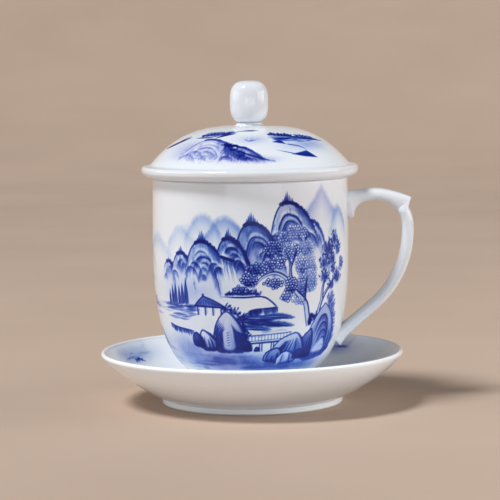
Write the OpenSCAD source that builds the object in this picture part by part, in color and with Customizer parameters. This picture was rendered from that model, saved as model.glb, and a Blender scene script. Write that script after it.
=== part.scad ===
// Lidded porcelain teacup on its saucer.
// The origin is on the saucer's axis, in the plane that its foot rests on. +Z is up and
// the cup's handle points along +X. Millimetres.

/* [Saucer] */
// Diameter over the saucer's rim
saucer_d = 132.8; // [126:0.2:142]
// Height of the rim above the table
saucer_h = 23.2; // [21:0.1:27]
// Outer diameter of the saucer's foot ring
saucer_foot_d = 80; // [76:0.5:84]
// Thickness of the saucer in its well
saucer_wall = 3; // [2.6:0.1:3.6]

/* [Cup] */
// Largest outer diameter of the cup
cup_d = 85.9; // [83:0.1:89]
// Height of the cup from its foot to its lip
cup_h = 93.7; // [90:0.1:98]
// Thickness of the cup's wall
cup_wall = 3; // [2.6:0.1:3.3]
// Outer diameter of the cup's foot ring
cup_foot_d = 48.8; // [47:0.2:51]

/* [Lid] */
// How far the lid's flange stands out past the lip of the cup
flange_overhang = 4.45; // [3.5:0.05:5.5]
// Height of the dome above the flange's underside
dome_h = 22.3; // [20:0.1:25]
// Depth that the locating collar hangs into the cup
collar_depth = 7; // [5:0.1:9]

/* [Knob] */
// Largest diameter of the knob
knob_d = 16.8; // [14:0.1:19]
// Height of the knob above the dome
knob_h = 19.6; // [17:0.1:22]

/* [Handle] */
// How far the loop reaches out from the cup's axis
handle_reach = 71.6; // [69:0.1:74]
// Width of the strap, across the loop
strap_w = 10.5; // [8:0.1:12]
// Thickness of the strap, in the plane of the loop
strap_t = 5.3; // [4.6:0.1:6]
// How far the thumb rest stands out of the loop
spur_h = 3.4; // [2:0.1:4]

/* [Hidden] */
$fn = 64;
// Steps along a rim's rounding, along a small bead, and along a wall's curve
arc_n = 10;
bead_n = 6;
curve_n = 20;
glaze = [0.90, 0.91, 0.93];
biscuit = [0.86, 0.83, 0.78];
// Clearance where one loose piece rests on another
rest_gap = 0.06;
// How far a wall's curve starts from the edge of the ring or the rounding that it leaves
ease = 0.1;

// Saucer
saucer_r = saucer_d / 2;
s_foot_r = saucer_foot_d / 2;
s_foot_h = 2.8;
s_foot_w = 3.6;
s_foot_bevel = 1;
// The cup's foot stands in a shallow round seat, this much wider than the foot
seat_play = 2.2;
seat_r = cup_foot_d / 2 + seat_play;
seat_z = s_foot_h + saucer_wall;
seat_depth = 0.6;
seat_slope_w = 0.6;
well_inset = 5.2;
well_r = s_foot_r - well_inset;
well_z = seat_z + seat_depth;
// The rim is this thick, and its rounding starts this far down, outside and inside
s_rim_t = 1.9;
s_rim_drop = 1.35;
s_rim_in_drop = 0.6;
// The wall leaves the foot at this slope and meets the rim at that one
s_low_slope = 27;
s_rim_slope = 59;
// How strongly those two slopes pull the outside's curve, and how its inside follows
s_low_pull = 8.2;
s_rim_pull = 8.4;
s_in_rim_pull = [6.2, 6.4];
s_in_well_pull = [11.2, 1];
s_rim_bulge = 0.95;

// Cup
cup_r = cup_d / 2;
cup_z = seat_z + rest_gap;
c_foot_r = cup_foot_d / 2;
c_foot_h = 5.9;
c_foot_w = 3.8;
c_foot_bevel = 0.9;
lip_z = cup_z + cup_h;
// The belly is widest at this height; below it the wall curves in to the foot
belly_z = cup_z + 0.684 * cup_h;
shoulder_z = belly_z + 4;
// The wall leaves the foot at this slope; the pulls shape its curve up to the belly
c_low_slope = 27.7;
c_low_pull = 18.1;
c_belly_pull = 25.7;
c_in_belly_pull = 28;
c_in_floor_pull = [2, 0.5];
// The lip's rounding starts this far down, a little inside the widest radius
lip_drop = 0.9;
lip_in = 0.3;
lip_bulge = 0.8;
c_floor_t = 3.2;
c_floor_z = cup_z + c_foot_h + c_floor_t;
c_floor_inset = 10.4;
c_floor_r = c_foot_r - c_floor_inset;

// Lid
lid_z = lip_z + rest_gap;
lid_r = cup_r + flange_overhang;
lid_wall = 3.2;
// The flange is a rounded bead; its heights are above the underside
flange_w = 4.4;
flange_under = 3;
flange_low = 2.7;
flange_high = 5;
flange_top_in = 1.9;
dome_r = lid_r - flange_w;
dome_foot_h = 6.2;
dome_drop = dome_h - dome_foot_h;
dome_power = 3.2;
// The inside is a smaller dome, flatter than the outside by this
dome_in_inset = 4;
dome_in_flat = 2.6;
dome_in_r = dome_r - dome_in_inset - 0.8;
dome_n = 18;
dome_in_n = 12;
// The collar hangs inside the cup's mouth with this much play all round
collar_play = 1.5;
collar_r = cup_r - cup_wall - collar_play;
collar_t = 2.9;
collar_in_r = collar_r - collar_t;
collar_bevel = 0.8;
knob_seat_r = 7;

// Knob
knob_z = dome_top(knob_seat_r);
knob_power = 3;
knob_n = 26;
neck_h = 1.3;
neck_r = knob_d / 3;
neck_bulge = 0.25;
// The knob proper rises from just above the dome
egg_lift = 0.6;
egg_b = (knob_h - egg_lift) / 2;
egg_z = knob_z + knob_h - egg_b;

// Handle: the centre line is two arcs over the top, one long arc down the back and a
// straight run into the cup. Angles are measured from +Z towards +X.
arch_r = 45;
bend_r = 14;
back_r = 43.2;
back_end = 139.4;
tail_l = 23;
root_angle = -19;
bend_up = 71.3;
back_drop = 1.6;
bend_c = [handle_reach - strap_t / 2 - bend_r, cup_z + bend_up];
arch_c = [bend_c[0], bend_c[1] + bend_r - arch_r];
back_c = [bend_c[0] + bend_r - back_r, bend_c[1] - back_drop];
// The strap swells where it meets the cup: outwards, inwards and sideways, over a length
top_root = [0.8, 6.4, 1.8];
top_root_l = 2.6;
low_root = [1.6, 3.4, 1.4];
low_root_l = 3.2;
// The thumb rest peaks at this angle of the bend, rises over one span and falls over the other
spur_a = 51.5;
spur_run = 46;
spur_fall = 10;
spur_rise_power = 2.4;
spur_fall_power = 1.6;
spur_thin = 0.35;
// The strap's section is a superellipse
section_n = 20;
section_power = 0.8;
arch_n = 14;
back_n = 14;
tail_n = 11;

// Points from p to q on an arc that stands out to the right of p-q by `bulge`
function arc(p, q, bulge, n = arc_n) =
    let (l = norm(q - p), r = (l * l / 4 + bulge * bulge) / (2 * bulge),
        right = [q[1] - p[1], p[0] - q[0]] / l, c = (p + q) / 2 - right * (r - bulge),
        a0 = atan2(p[1] - c[1], p[0] - c[0]), a1 = atan2(q[1] - c[1], q[0] - c[0]),
        turn = a1 - a0 > 180 ? a1 - a0 - 360 : a1 - a0 < -180 ? a1 - a0 + 360 : a1 - a0)
    [for (i = [0:n]) c + abs(r) * [cos(a0 + turn * i / n), sin(a0 + turn * i / n)]];

// Points on the cubic curve from a to d with control points b and c
function curve(a, b, c, d, n = curve_n) = [for (i = [0:n]) let (t = i / n, u = 1 - t)
    u * u * u * a + 3 * u * u * t * b + 3 * u * t * t * c + t * t * t * d];
function polar(l, angle) = l * [cos(angle), sin(angle)];

// Height of the dome's outside, and of its inside, at radius r
function dome_top(r) = lid_z + dome_h - dome_drop * pow(r / dome_r, dome_power);
function dome_under(r) = lid_z + dome_h - lid_wall
    - (dome_drop - dome_in_flat) * pow(r / (dome_r - dome_in_inset), dome_power);

// Outline of the cup's outside from the top of its foot ring up to just below the lip
function cup_outside() = let (start = [c_foot_r + 2 * ease, cup_z + c_foot_h + c_foot_bevel]) concat(
    curve(start, start + polar(c_low_pull, c_low_slope), [cup_r, belly_z - c_belly_pull],
        [cup_r, belly_z]),
    [[cup_r, shoulder_z], [cup_r - lip_in, lip_z - lip_drop]]);

module saucer_dish() color(glaze) let (
    foot = [s_foot_r + 3 * ease, s_foot_h + 2.5 * ease],
    rim = [saucer_r - ease, saucer_h - s_rim_drop],
    rim_in = [saucer_r - s_rim_t, saucer_h - s_rim_in_drop])
rotate_extrude() polygon(concat(
    [[0, s_foot_h], [s_foot_r, s_foot_h]],
    curve(foot, foot + polar(s_low_pull, s_low_slope), rim - polar(s_rim_pull, s_rim_slope), rim),
    arc(rim + [ease, 3 * ease], rim_in, s_rim_bulge),
    curve(rim_in - [ease, 2 * ease], [saucer_r, saucer_h] - s_in_rim_pull,
        [well_r, well_z] + s_in_well_pull, [well_r, well_z]),
    [[seat_r + seat_slope_w, well_z], [seat_r, seat_z], [0, seat_z]]));

// A standing ring whose lower edges are bevelled
module foot_ring(r, z, w, h, bevel) color(biscuit) rotate_extrude() polygon([
    [r - w + bevel, z], [r - bevel, z], [r - bevel / 4, z + 0.7 * bevel], [r, z + h],
    [r - w, z + h], [r - w + bevel / 2, z + 0.8 * bevel]]);

module saucer_foot_ring() foot_ring(s_foot_r, 0, s_foot_w, s_foot_h, s_foot_bevel);

module cup_body() color(glaze) let (inner_r = cup_r - cup_wall)
rotate_extrude() polygon(concat(
    [[0, cup_z + c_foot_h], [c_foot_r, cup_z + c_foot_h]],
    cup_outside(),
    arc([cup_r - lip_in, lip_z - lip_drop + ease], [inner_r, lip_z - lip_drop + ease], lip_bulge),
    [[inner_r, shoulder_z]],
    curve([inner_r, belly_z], [inner_r, belly_z - c_in_belly_pull],
        [inner_r - c_in_floor_pull[0], c_floor_z + c_in_floor_pull[1]], [c_floor_r, c_floor_z]),
    [[0, c_floor_z]]));

module cup_foot_ring() foot_ring(c_foot_r, cup_z, c_foot_w, c_foot_h, c_foot_bevel);

module lid_dome() color(glaze) rotate_extrude() polygon(concat(
    [[collar_in_r, lid_z], [lid_r - flange_under, lid_z]],
    arc([lid_r - flange_under + 6 * ease, lid_z + 3 * ease], [lid_r, lid_z + flange_low], 0.45, bead_n),
    arc([lid_r, lid_z + flange_low + 3 * ease], [lid_r - flange_top_in, lid_z + flange_high], 0.8,
        bead_n + 2),
    arc([lid_r - flange_top_in - 4 * ease, lid_z + flange_high + ease],
        [dome_r + ease / 2, lid_z + dome_foot_h], -0.3, bead_n),
    [for (i = [1:dome_n]) let (r = dome_r - (dome_r - knob_seat_r) * i / dome_n) [r, dome_top(r)]],
    [[0, knob_z], [0, dome_under(0)]],
    [for (i = [1:dome_in_n]) let (r = dome_in_r * i / dome_in_n) [r, dome_under(r)]],
    arc([dome_in_r - ease, dome_under(dome_in_r) - 1], [collar_in_r, lid_z + 6 * ease], 0.9, bead_n)));

module lid_collar() color(glaze) rotate_extrude() polygon([
    [collar_in_r, lid_z], [collar_in_r, lid_z - collar_depth + collar_bevel],
    [collar_in_r + collar_bevel, lid_z - collar_depth], [collar_r - collar_bevel, lid_z - collar_depth],
    [collar_r - 3 * ease, lid_z - collar_depth + collar_bevel], [collar_r, lid_z]]);

// A superellipse standing on a short flared neck
module lid_knob() color(glaze) rotate_extrude() polygon(concat(
    [[0, knob_z], [knob_seat_r - 4 * ease, knob_z]],
    arc([knob_seat_r - 6 * ease, knob_z + 1.5 * ease], [neck_r, knob_z + neck_h], -neck_bulge, bead_n),
    [for (i = [2:knob_n]) let (t = 2 * i / knob_n - 1, z = egg_b * sin(90 * t))
        [knob_d / 2 * pow(max(0, 1 - pow(abs(z / egg_b), knob_power)), 1 / knob_power),
            egg_z + z]]));

// How far the thumb rest stands out of the bend at angle a
function spur(a) = a <= spur_a
    ? spur_h * pow(max(0, 1 - (spur_a - a) / spur_run), spur_rise_power)
    : spur_h * pow(max(0, 1 - (a - spur_a) / spur_fall), spur_fall_power);

// One station of the strap: centre, angle of its outward normal, outward and inward half
// thickness, half width; swell is what is added to the last three
function station(c, a, swell = [0, 0, 0]) =
    [c, a, strap_t / 2 + swell[0], strap_t / 2 + swell[1], strap_w / 2 + swell[2]];
function on_arc(c, r, a) = c + r * [sin(a), cos(a)];

// Stations stand closest round the thumb rest
spur_stations = [for (a = [-4.5, -2, 0, 1.5, 3, 4.5, 6.5, 8.5, 11.5]) spur_a + a];
bend_stations = concat([0, 8, 16, 23, 29, 35, 40, 44], spur_stations, [67, 72, 78, 84, 90]);
tail_c = on_arc(back_c, back_r, back_end);

stations = concat(
    [for (i = [0:arch_n - 1]) let (a = root_angle * (1 - i / arch_n), p = on_arc(arch_c, arch_r, a))
        station(p, a, exp(-max(0, p[0] - cup_r) / top_root_l) * top_root)],
    [for (a = bend_stations)
        station(on_arc(bend_c, bend_r, a), a, spur(a) * [1, 0, -spur_thin])],
    [for (i = [0:back_n]) let (a = 90 + (back_end - 90) * i / back_n)
        station(on_arc(back_c, back_r, a), a)],
    [for (i = [1:tail_n]) let (way = tail_l * i / tail_n)
        station(tail_c + way * [cos(back_end), -sin(back_end)], back_end,
            exp((way - tail_l) / low_root_l) * low_root)]);

function section_point(s, j) =
    let (t = 360 * j / section_n, u = cos(t), v = sin(t),
        n = sign(u) * pow(abs(u), section_power) * (u > 0 ? s[2] : s[3]),
        w = sign(v) * pow(abs(v), section_power) * s[4])
    [s[0][0] + n * sin(s[1]), w, s[0][1] + n * cos(s[1])];

module strap() {
    m = len(stations);
    polyhedron(
        points = [for (s = stations) for (j = [0:section_n - 1]) section_point(s, j)],
        faces = concat(
            [[for (j = [section_n - 1:-1:0]) j]],
            [for (i = [0:m - 2]) for (j = [0:section_n - 1]) let (k = (j + 1) % section_n)
                [i * section_n + k, (i + 1) * section_n + j, i * section_n + j]],
            [for (i = [0:m - 2]) for (j = [0:section_n - 1]) let (k = (j + 1) % section_n)
                [(i + 1) * section_n + k, (i + 1) * section_n + j, i * section_n + k]],
            [[for (j = [0:section_n - 1]) (m - 1) * section_n + j]]));
}

// The strap ends on the outside of the cup's wall
module cup_handle() color(glaze) difference() {
    strap();
    rotate_extrude() polygon(concat(
        [[0, cup_z + c_foot_h], [c_foot_r, cup_z + c_foot_h]], cup_outside(),
        [[0, lip_z - lip_drop]]));
}

saucer_dish();
saucer_foot_ring();
cup_body();
cup_foot_ring();
cup_handle();
lid_dome();
lid_collar();
lid_knob();
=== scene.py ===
import math

import bpy
import numpy as np
from mathutils import Matrix, Vector


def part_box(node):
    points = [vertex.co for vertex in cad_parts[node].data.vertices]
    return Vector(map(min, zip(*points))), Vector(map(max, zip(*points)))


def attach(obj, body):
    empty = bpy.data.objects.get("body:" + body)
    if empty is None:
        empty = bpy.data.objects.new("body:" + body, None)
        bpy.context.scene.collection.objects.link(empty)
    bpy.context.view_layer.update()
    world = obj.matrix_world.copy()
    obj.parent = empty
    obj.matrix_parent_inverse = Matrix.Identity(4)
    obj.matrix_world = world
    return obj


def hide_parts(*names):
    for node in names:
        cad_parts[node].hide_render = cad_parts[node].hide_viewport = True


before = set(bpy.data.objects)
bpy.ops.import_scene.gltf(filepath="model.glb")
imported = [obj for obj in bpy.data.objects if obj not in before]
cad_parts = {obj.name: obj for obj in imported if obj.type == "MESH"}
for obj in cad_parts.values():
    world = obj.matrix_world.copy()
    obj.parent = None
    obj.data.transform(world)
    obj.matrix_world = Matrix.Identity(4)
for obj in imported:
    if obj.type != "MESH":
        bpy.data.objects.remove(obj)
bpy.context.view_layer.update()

MM = 0.001


# ---------------- outlines of the CAD's round parts

def height_first(point):
    """A sorting key: the lowest point comes first, and the innermost of those at one height."""
    return point[1], point[0]


def outline(node):
    """A round CAD node's outline in its XZ half plane: an (n, 2) array of radius and height."""
    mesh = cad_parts[node].data
    co = np.array([v.co[:] for v in mesh.vertices])
    on_seam = (abs(co[:, 1]) < 1e-7) & (co[:, 0] > 1e-7)
    names = [(round(float(x), 6), round(float(z), 6)) for x, _, z in co]
    links = {names[i]: set() for i in np.flatnonzero(on_seam)}
    for edge in mesh.edges:
        a, b = edge.vertices
        if on_seam[a] and on_seam[b] and names[a] != names[b]:
            links[names[a]].add(names[b])
            links[names[b]].add(names[a])
    # A flat ring's triangles may leave its seam out: its two ends lie at one height
    loose = sorted((p for p in links if len(links[p]) < 2), key=height_first)
    for a, b in zip(loose, loose[1:]):
        if abs(a[1] - b[1]) < 2e-6 and len(links[a]) < 2 and len(links[b]) < 2:
            links[a].add(b)
            links[b].add(a)
    ends = [p for p in links if len(links[p]) < 2]
    point = min(ends or links, key=height_first)
    path = [point]
    while True:
        onward = [p for p in links[point] if p not in path]
        if not onward:
            break
        point = min(onward, key=lambda p: math.dist(p, point))
        path.append(point)
    if not ends:
        path.append(path[0])
    return np.array(path)


def faired(points, corner=math.radians(24), spacing=0.05 * MM, soften=0.35 * MM):
    """The outline as a dense smooth curve whose corners are softened as glaze softens them."""
    step = np.diff(points, axis=0)
    length = np.hypot(*step.T)
    way = step / length[:, None]

    def tangent(i, j):
        """Span i's direction at point j, shared with the next span unless there is a corner."""
        if j == 0 or j == len(way):
            return way[i]
        bend = math.acos(float(np.clip(way[j - 1] @ way[j], -1, 1)))
        mean = way[j - 1] * length[j] + way[j] * length[j - 1]
        return way[i] if bend > corner else mean / np.hypot(*mean)

    dense = []
    for i, (a, b, d) in enumerate(zip(points[:-1], points[1:], length)):
        count = max(2, int(d / spacing))
        t = np.arange(count)[:, None] / count
        dense.append((2 * t**3 - 3 * t**2 + 1) * a + (t**3 - 2 * t**2 + t) * d * tangent(i, i)
                     + (3 * t**2 - 2 * t**3) * b + (t**3 - t**2) * d * tangent(i, i + 1))
    dense = np.vstack(dense + [points[-1:]])
    half = int(soften / spacing / 2)
    closed = np.allclose(points[0], points[-1])
    padded = np.pad(dense[:-1] if closed else dense, ((half, half), (0, 0)),
                    mode="wrap" if closed else "edge")
    kernel = np.ones(2 * half + 1) / (2 * half + 1)
    smooth = np.stack([np.convolve(padded[:, k], kernel, "valid") for k in (0, 1)], axis=1)
    if closed:
        return np.vstack([smooth, smooth[:1]])
    smooth[0], smooth[-1] = dense[0], dense[-1]
    return smooth


def paced(curve, step, bend=math.radians(9)):
    """Points along a dense curve: step(points) apart where it is straight, closer at a bend."""
    move = np.diff(curve, axis=0)
    length = np.hypot(*move.T) + 1e-12
    heading = np.unwrap(np.arctan2(move[:, 1], move[:, 0]))
    kernel = np.ones(7) / 7
    turn = np.convolve(abs(np.gradient(heading)), kernel, "same")
    count = np.concatenate([[0], np.cumsum(length / step(curve[:-1]) + turn / bend)])
    at = np.linspace(0, count[-1], int(count[-1]) + 2)
    return np.stack([np.interp(at, count, curve[:, k]) for k in (0, 1)], axis=1)


def even(step):
    """A pace that is the same everywhere."""
    return lambda points: np.full(len(points), step)


# ---------------- meshes

def smooth_mesh(name, verts, faces):
    """A smooth-shaded mesh object in the scene."""
    mesh = bpy.data.meshes.new(name)
    mesh.from_pydata([tuple(v) for v in verts], [], faces)
    mesh.polygons.foreach_set("use_smooth", [True] * len(faces))
    thing = bpy.data.objects.new(name, mesh)
    bpy.context.scene.collection.objects.link(thing)
    return thing


def add_piece(name, verts, faces, body, slot, node, material, **fields):
    """A mesh piece that rides on a body and stands for a CAD node, with its float fields."""
    piece = smooth_mesh(name, verts, faces)
    for field_name, values in fields.items():
        data = piece.data.attributes.new(field_name, "FLOAT", "POINT")
        data.data.foreach_set("value", np.asarray(values, dtype=np.float32))
    piece.data.update()
    piece.data.materials.append(material)
    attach(piece, body)
    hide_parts(node)


def revolve(rings, azimuths):
    """Vertices, faces, and each vertex's ring and azimuth, of rings turned round the Z axis.

    Azimuth 0 faces -Y and grows towards +X. A ring of no radius becomes one vertex.
    """
    n = len(azimuths)
    verts, faces, ring_of, azimuth_of, first = [], [], [], [], []
    for k, (r, z) in enumerate(rings):
        first.append(len(verts))
        on_axis = r < 1e-6
        turns = [0.0] if on_axis else azimuths
        verts += [(0, 0, z)] if on_axis else [(r * math.sin(a), -r * math.cos(a), z) for a in turns]
        ring_of += [k] * len(turns)
        azimuth_of += list(turns)
    for k, (a, b) in enumerate(zip(first, first[1:])):
        for j in range(n):
            m = (j + 1) % n
            if rings[k][0] < 1e-6:
                faces.append((a, b + m, b + j))
            elif rings[k + 1][0] < 1e-6:
                faces.append((a + j, a + m, b))
            else:
                faces.append((a + j, a + m, b + m, b + j))
    return np.array(verts), faces, np.array(ring_of), np.array(azimuth_of)


def full_turn(count):
    """Azimuths all round, evenly apart."""
    return np.linspace(0, math.tau, count, endpoint=False)


def capped(rings):
    """Rings with a point on the axis added at both ends, which are discs."""
    return np.vstack([[(0, rings[0][1])], rings, [(0, rings[-1][1])]])


# ---------------- the painter's sheet

def flowing(points, pace=0.9, closed=False):
    """A smooth path through a few points, in steps of about pace."""
    p = np.asarray(points, dtype=float)
    if closed:
        p = np.vstack([p[-1:], p, p[:2]])
    else:
        p = np.vstack([2 * p[0] - p[1], p, 2 * p[-1] - p[-2]])
    path = []
    for a, b, c, d in zip(p[:-3], p[1:-2], p[2:-1], p[3:]):
        steps = max(2, int(math.dist(b, c) / pace))
        t = np.arange(steps)[:, None] / steps
        path.append(0.5 * (2 * b + (c - a) * t + (2 * a - 5 * b + 4 * c - d) * t**2
                           + (3 * b - 3 * c + d - a) * t**3))
    return np.vstack(path + [p[-2:-1]])


def near_path(x, y, path):
    """Each place's distance from a path, and how far along it the nearest point is, 0 to 1."""
    a, way = path[:-1], np.diff(path, axis=0)
    length = np.hypot(*way.T) + 1e-9
    dx, dy = x[..., None] - a[:, 0], y[..., None] - a[:, 1]
    t = np.clip((dx * way[:, 0] + dy * way[:, 1]) / length**2, 0, 1)
    gap = np.hypot(dx - t * way[:, 0], dy - t * way[:, 1])
    best = gap.argmin(axis=-1)[..., None]
    before = np.concatenate([[0], np.cumsum(length)])
    nearest = best[..., 0]
    along = before[nearest] + np.take_along_axis(t, best, -1)[..., 0] * length[nearest]
    return np.take_along_axis(gap, best, -1)[..., 0], along / before[-1]


def contains(x, y, path):
    """Whether each place lies inside a closed path."""
    (ax, ay), (bx, by) = path[:-1].T, path[1:].T
    x, y = x[..., None], y[..., None]
    across = ((ay > y) != (by > y)) & (x < (bx - ax) * (y - ay) / (by - ay + 1e-12) + ax)
    return across.sum(axis=-1) % 2 == 1


def blended(at, u, v):
    """Between four neighbours, at(row, column): u across the columns and v across the rows."""
    return (at(0, 0) * (1 - u) + at(0, 1) * u) * (1 - v) + (at(1, 0) * (1 - u) + at(1, 1) * u) * v


class Sheet:
    """A painted wall unrolled flat, in millimetres: x runs round the piece and y up its wall.

    tone is how thick the cobalt lies, from 0 to 1. violets lists the centres and sizes of the
    places where its blue leans to violet.
    """

    def __init__(self, left, right, bottom, top, seed, cell=0.2):
        self.x = np.arange(left, right + cell, cell)
        self.y = np.arange(bottom, top + cell, cell)
        self.cell = cell
        self.tone = np.zeros((len(self.y), len(self.x)))
        self.rng = np.random.default_rng(seed)
        self.violets = []
        blobs = (9, 0.5), (3, 0.3), (1, 0.2)
        self.mottle = sum(self.clouds(size) * share for size, share in blobs)

    def clouds(self, size):
        """Smooth noise from 0 to 1 whose blobs are about size across."""
        rows, cols = int(np.ptp(self.y) / size) + 3, int(np.ptp(self.x) / size) + 3
        coarse = self.rng.random((rows, cols))
        i, j = (self.y - self.y[0]) / size, (self.x - self.x[0]) / size
        i0, j0 = i.astype(int), j.astype(int)
        u, v = (t * t * (3 - 2 * t) for t in (j - j0, i - i0))
        return blended(lambda a, b: coarse[np.ix_(i0 + a, j0 + b)], u[None, :], v[:, None])

    def window(self, low, high):
        """The part of the sheet between two corners, and its x and y."""
        i = slice(*np.searchsorted(self.x, (low[0], high[0])))
        j = slice(*np.searchsorted(self.y, (low[1], high[1])))
        return (j, i), self.x[i][None, :], self.y[j][:, None]

    def around(self, path, margin):
        """The part round a closed path, its x and y, and how deep inside the path each place is."""
        part, x, y = self.window(path.min(axis=0) - margin, path.max(axis=0) + margin)
        gap, _ = near_path(x, y, path)
        return part, x, y, np.where(contains(x, y, path), gap, -gap)

    def lay(self, part, cover):
        """Adds cobalt: a wash over a wash darkens a little, a wash over ink hardly shows."""
        under = self.tone[part]
        thick, thin = np.maximum(under, cover), np.minimum(under, cover)
        self.tone[part] = thick + 0.4 * thin * (1 - thick)

    def trace(self, points, width, taper, soft, shake=0.0):
        """Where a brush stroke falls: the part of the sheet, its cover, and how far along it is."""
        path = flowing(points)
        if shake:
            path[1:-1] += self.rng.normal(0, shake, path[1:-1].shape)
        reach = width / 2 + soft
        part, x, y = self.window(path.min(axis=0) - reach, path.max(axis=0) + reach)
        gap, along = near_path(x, y, path)
        start, end = taper if isinstance(taper, tuple) else (taper, taper)
        ends = np.clip(along / start, 0, 1) * np.clip((1 - along) / end, 0, 1)
        return part, np.clip((width / 2 * ends**0.6 - gap) / soft + 0.5, 0, 1), along

    def stroke(self, points, width, ink, taper=(0.2, 0.5), soft=0.22, fade=0.0, shake=0.0):
        """One brush stroke, thinner over the taper's share of its length at its start and end."""
        part, cover, along = self.trace(points, width, taper, soft, shake)
        self.lay(part, cover * ink * (1 - fade * along) * (0.8 + 0.4 * self.mottle[part]))

    def wipe(self, points, width, share, taper=0.35, soft=0.6):
        """One stroke of a damp brush, which lifts a share of the cobalt."""
        part, cover, _ = self.trace(points, width, taper, soft)
        self.tone[part] *= 1 - cover * share

    def fill(self, outline, shade, soft=0.3, hide=1.0, smooth=True):
        """Covers what lies inside an outline with a shade: a number, or a function of x and y."""
        path = flowing(outline, closed=True) if smooth else np.array([*outline, outline[0]], float)
        part, x, y, depth = self.around(path, soft)
        cover = np.clip(depth / soft + 0.5, 0, 1)
        self.tone[part] *= 1 - cover * hide
        tone = shade(x, y) if callable(shade) else shade
        self.lay(part, cover * np.clip(tone, 0, 1) * (0.75 + 0.5 * self.mottle[part]))

    def cloud(self, centre, size, ink, power=2.0):
        """A soft round wash."""
        c, s = np.array(centre), np.array(size)
        part, x, y = self.window(c - 2 * s, c + 2 * s)
        spread = np.hypot((x - c[0]) / s[0], (y - c[1]) / s[1])
        self.lay(part, ink * np.exp(-spread**power) * (0.6 + 0.8 * self.mottle[part]))

    def hill(self, top, half_width, height, ink, power=2.3):
        """A distant hill: a pale wash, firmest along its upper edge and gone at its foot."""
        edge, unevenness = 3.2, 3.5
        cx, cy = top
        half = 1.5 * half_width
        part, x, y = self.window((cx - half, cy - 2.6 * height), (cx + half, cy + edge))
        u = (x - cx) / half_width
        fall = height * (1.2 * np.abs(u) ** power / (1 + 0.3 * u**2))
        below = cy - fall + unevenness * (self.mottle[part] - 0.5) - y
        cover = np.clip(below / edge, 0, 1) * np.exp(-(np.clip(below, 0, None) / height) ** 1.6 * 1.5)
        self.lay(part, ink * cover * (0.5 + self.mottle[part]) * np.clip(3 * (1.3 - abs(u)), 0, 1))

    def sample(self, x, y):
        """The tone at places off the grid."""
        i = np.clip((x - self.x[0]) / self.cell, 0, len(self.x) - 1.001)
        j = np.clip((y - self.y[0]) / self.cell, 0, len(self.y) - 1.001)
        i0, j0 = i.astype(int), j.astype(int)
        return blended(lambda a, b: self.tone[j0 + a, i0 + b], i - i0, j - j0)


# ---------------- peaks

def slope(apex, shape, share=1.0, n=13):
    """A rounded ridge: steep and round to the left of its top, longer and straighter to the right.

    shape is how far the ridge reaches to the left and right, and how far it falls on each side.
    """
    left, right, fall_left, fall_right = shape
    u = np.linspace(-share, share, n)
    away = np.abs(u)
    fall = np.where(u < 0, fall_left * away**3.0, fall_right * (0.1 * away + 0.9 * away**2.5))
    return np.stack([apex[0] + u * np.where(u < 0, left, right), apex[1] - fall], axis=1)


def crown(sheet, ridge, tall, ink):
    """Trees along a ridge: a dark scalloped band, and a comb of spikes that meets in a point."""
    span = max(np.ptp(ridge[:, 0]), 2)
    share = np.linspace(0, 1, len(ridge))
    for u in np.arange(0.04, 1, 1.1 / span):
        x, y = (np.interp(u, share, ridge[:, k]) for k in (0, 1))
        sheet.stroke([(x - 0.8, y - 0.5), (x, y + 0.35), (x + 0.8, y - 0.5)], 1.5, ink * 0.95,
                     taper=0.3, shake=0.1)
    for u in np.arange(0.08, 0.94, 0.72 / span):
        x, y = (np.interp(u, share, ridge[:, k]) for k in (0, 1))
        h = tall * max(0, 1 - abs(2.3 * (u - 0.47))) ** 1.15 + 0.7 + abs(sheet.rng.normal(0, 0.3))
        sheet.stroke([(x, y), (x + sheet.rng.normal(0, 0.08), y + h)], 0.5, ink * 0.9,
                     taper=(0.05, 0.45), fade=0.3, soft=0.2)
        sheet.stroke([(x, y), (x, y + 0.5 * h)], 0.42, ink, taper=(0.05, 0.3), soft=0.5)


def peak_wash(sheet, apex, shape, mist, tone):
    """A peak's washed rock, darker to the right and along its edge, gone where the mist starts."""
    ridge = slope(apex, shape)
    foot = [(ridge[-1][0] + 0.5, mist - 3), (ridge[0][0] - 0.5, mist - 3)]
    part, x, y, depth = sheet.around(flowing([*ridge, *foot], closed=True), 1)
    inside = np.clip(depth / 0.4 + 0.5, 0, 1)
    up = np.clip((y - mist + 2) / (apex[1] - mist), 0, 1)
    sheet.tone[part] *= 1 - inside * np.clip(up * 4, 0, 1)
    across = np.clip((x - apex[0] + shape[0]) / (shape[0] + shape[1]), 0, 1)
    edge = 0.55 + 0.45 * np.exp(-abs(depth) / 3)
    body = tone * (0.35 + 0.9 * across) * np.clip(1.6 * up, 0, 1) * edge
    sheet.lay(part, inside * body * (0.45 + 1.1 * sheet.mottle[part]))


def nested_folds(sheet, apex, shape, mist, count, ink, lean):
    """Folds one inside the other down a peak's face, each shaded below and lit above."""
    rng, left, right = sheet.rng, shape[0], shape[1]
    for k in range(1, count + 1):
        share = 1 - k / (count + 0.8)
        top = (apex[0] + lean * k * right + rng.uniform(-0.08, 0.08) * left,
               apex[1] - 1.2 - (apex[1] - mist) * (0.16 * k + rng.uniform(-0.03, 0.03)))
        bow = slope(top, shape * share * rng.uniform((0.8, 0.7, 0.8, 0.9), (1.1, 1.0, 1.3, 1.4)))
        bow = bow[rng.integers(0, 4): len(bow) - rng.integers(0, 4)]
        sheet.stroke(bow - [0, 1.3], 3.0, 0.5 * ink, taper=(0.45, 0.3), soft=1.8, fade=0.25)
        sheet.wipe(bow + [0, 1.3], 1.4, 0.6, soft=0.9)
        sheet.stroke(bow, 0.8 + 0.7 * rng.random(), ink * (0.95 - 0.07 * k),
                     taper=(0.5, 0.6), fade=0.25, soft=0.4, shake=0.08)
        sheet.stroke(bow[1:-3] + [0.6, -1.0], 0.45, ink * 0.7, taper=(0.5, 0.6), fade=0.4, shake=0.08)


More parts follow.
